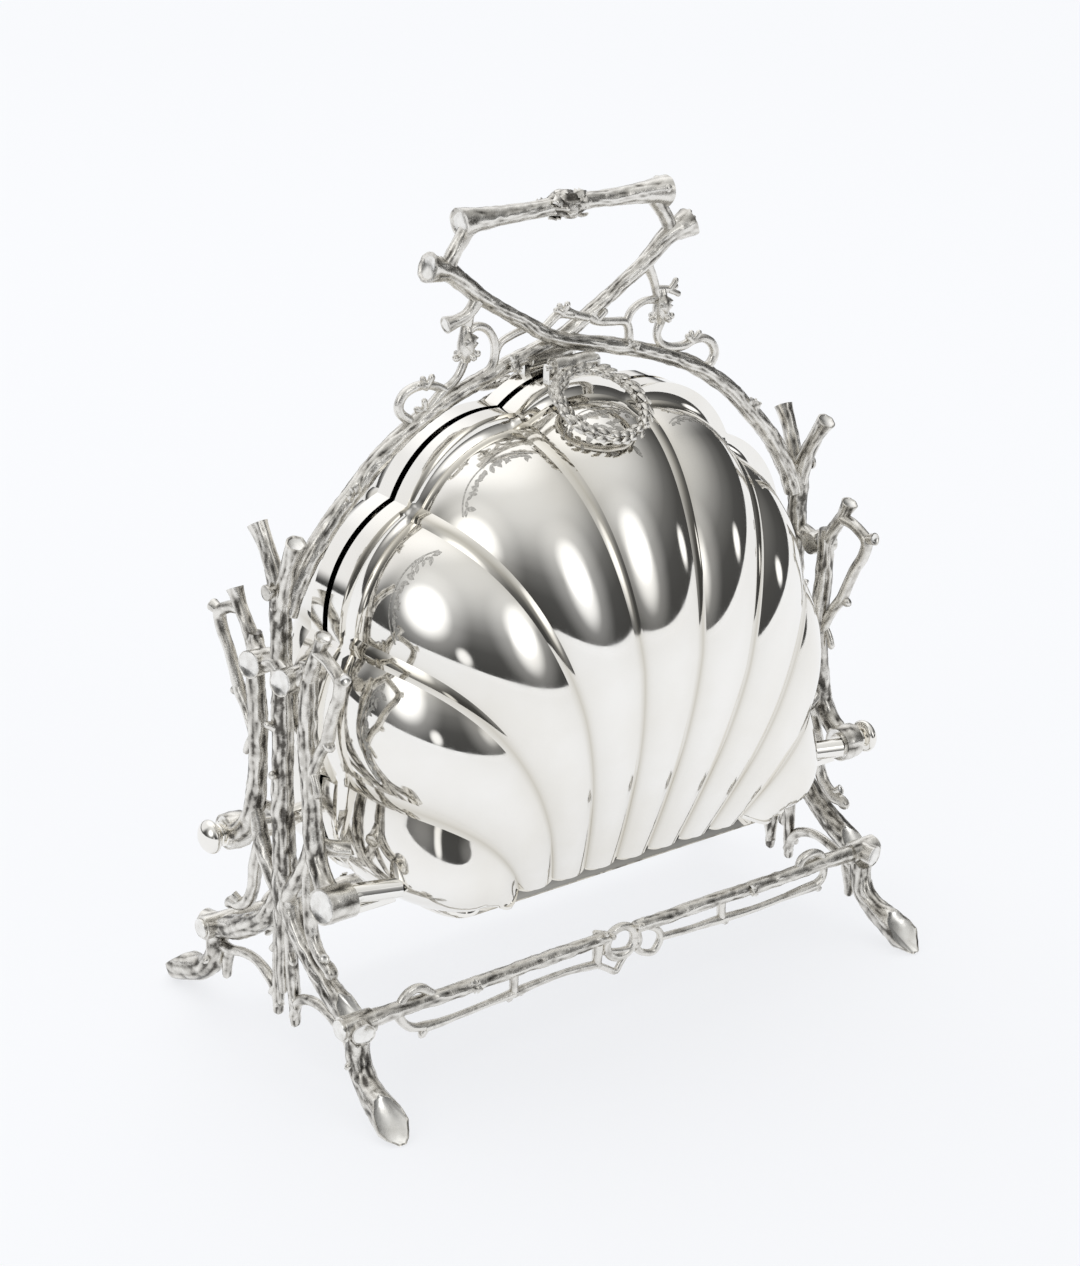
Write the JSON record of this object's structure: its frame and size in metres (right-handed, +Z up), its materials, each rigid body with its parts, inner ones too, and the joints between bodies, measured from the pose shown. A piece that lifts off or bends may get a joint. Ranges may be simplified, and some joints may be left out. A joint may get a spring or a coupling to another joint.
{
  "type": "folding biscuit box",
  "caption": "Folding biscuit box: fluted scallop shell halves that hinge down inside a cast branch frame with a carrying handle, lift rings and pierced inner grilles.",
  "frame": {"origin": "on the floor, in the middle between the four feet", "axes": "+X along the pivots to the right, -Y towards the front shell, +Z up to the handle"},
  "size_m": [0.2572, 0.1498, 0.2968],
  "materials": {
    "bright_silver": "polished silver plate",
    "cast_silver": "cast and silver plated, darker in the hollows"
  },
  "bodies": {
    "frame": {"left_trestle": "cast_silver", "right_trestle": "cast_silver", "arch": "cast_silver", "handle_grip": "cast_silver", "front_stretcher": "cast_silver", "rear_stretcher": "cast_silver", "stretcher_screws": "cast_silver", "arch_screws": "cast_silver", "pivot_bushes": "bright_silver", "front_knob_pin": "bright_silver", "rear_knob_pin": "bright_silver", "front_knob": "bright_silver", "rear_knob": "bright_silver", "pivot_collars": "bright_silver", "front_fixed_pin": "bright_silver", "rear_fixed_pin": "bright_silver"},
    "front_half": {"front_shell": "bright_silver", "front_left_hinge_tube": "bright_silver", "front_right_hinge_tube": "bright_silver", "front_ring_lugs": "cast_silver", "front_ring_pin": "cast_silver", "front_grille_lugs": "bright_silver", "front_grille_pins": "bright_silver"},
    "front_ring": {"front_wreath_ring": "cast_silver"},
    "front_flap": {"front_grille": "bright_silver", "front_grille_knob": "bright_silver"},
    "rear_half": {"rear_shell": "bright_silver", "rear_left_hinge_tube": "bright_silver", "rear_right_hinge_tube": "bright_silver", "rear_ring_lugs": "cast_silver", "rear_ring_pin": "cast_silver", "rear_grille_lugs": "bright_silver", "rear_grille_pins": "bright_silver"},
    "rear_ring": {"rear_wreath_ring": "cast_silver"},
    "rear_flap": {"rear_grille": "bright_silver", "rear_grille_knob": "bright_silver"}
  },
  "joints": [
    {"name": "front_shell_open", "type": "hinge", "parent": "frame", "child": "front_half", "pos_m": [0, -0.034, 0.0744], "axis": [1, 0, 0], "range_deg": [0, 112]},
    {"name": "rear_shell_open", "type": "hinge", "parent": "frame", "child": "rear_half", "pos_m": [0, 0.034, 0.0744], "axis": [-1, 0, 0], "range_deg": [0, 112]},
    {"name": "front_ring_swing", "type": "hinge", "parent": "front_half", "child": "front_ring", "pos_m": [0, -0.007, 0.2375], "axis": [-1, 0, 0], "range_deg": [0, 110]},
    {"name": "rear_ring_swing", "type": "hinge", "parent": "rear_half", "child": "rear_ring", "pos_m": [0, 0.007, 0.2375], "axis": [1, 0, 0], "range_deg": [0, 110]},
    {"name": "front_grille_lift", "type": "hinge", "parent": "front_half", "child": "front_flap", "pos_m": [0, -0.005, 0.06271], "axis": [-1, 0, 0], "range_deg": [0, 68]},
    {"name": "rear_grille_lift", "type": "hinge", "parent": "rear_half", "child": "rear_flap", "pos_m": [0, 0.005, 0.06271], "axis": [1, 0, 0], "range_deg": [0, 68]}
  ],
  "couplings": [
    {"joint": "front_grille_lift", "follows": "front_shell_open", "ratio": 0.6},
    {"joint": "rear_grille_lift", "follows": "rear_shell_open", "ratio": 0.6}
  ]
}
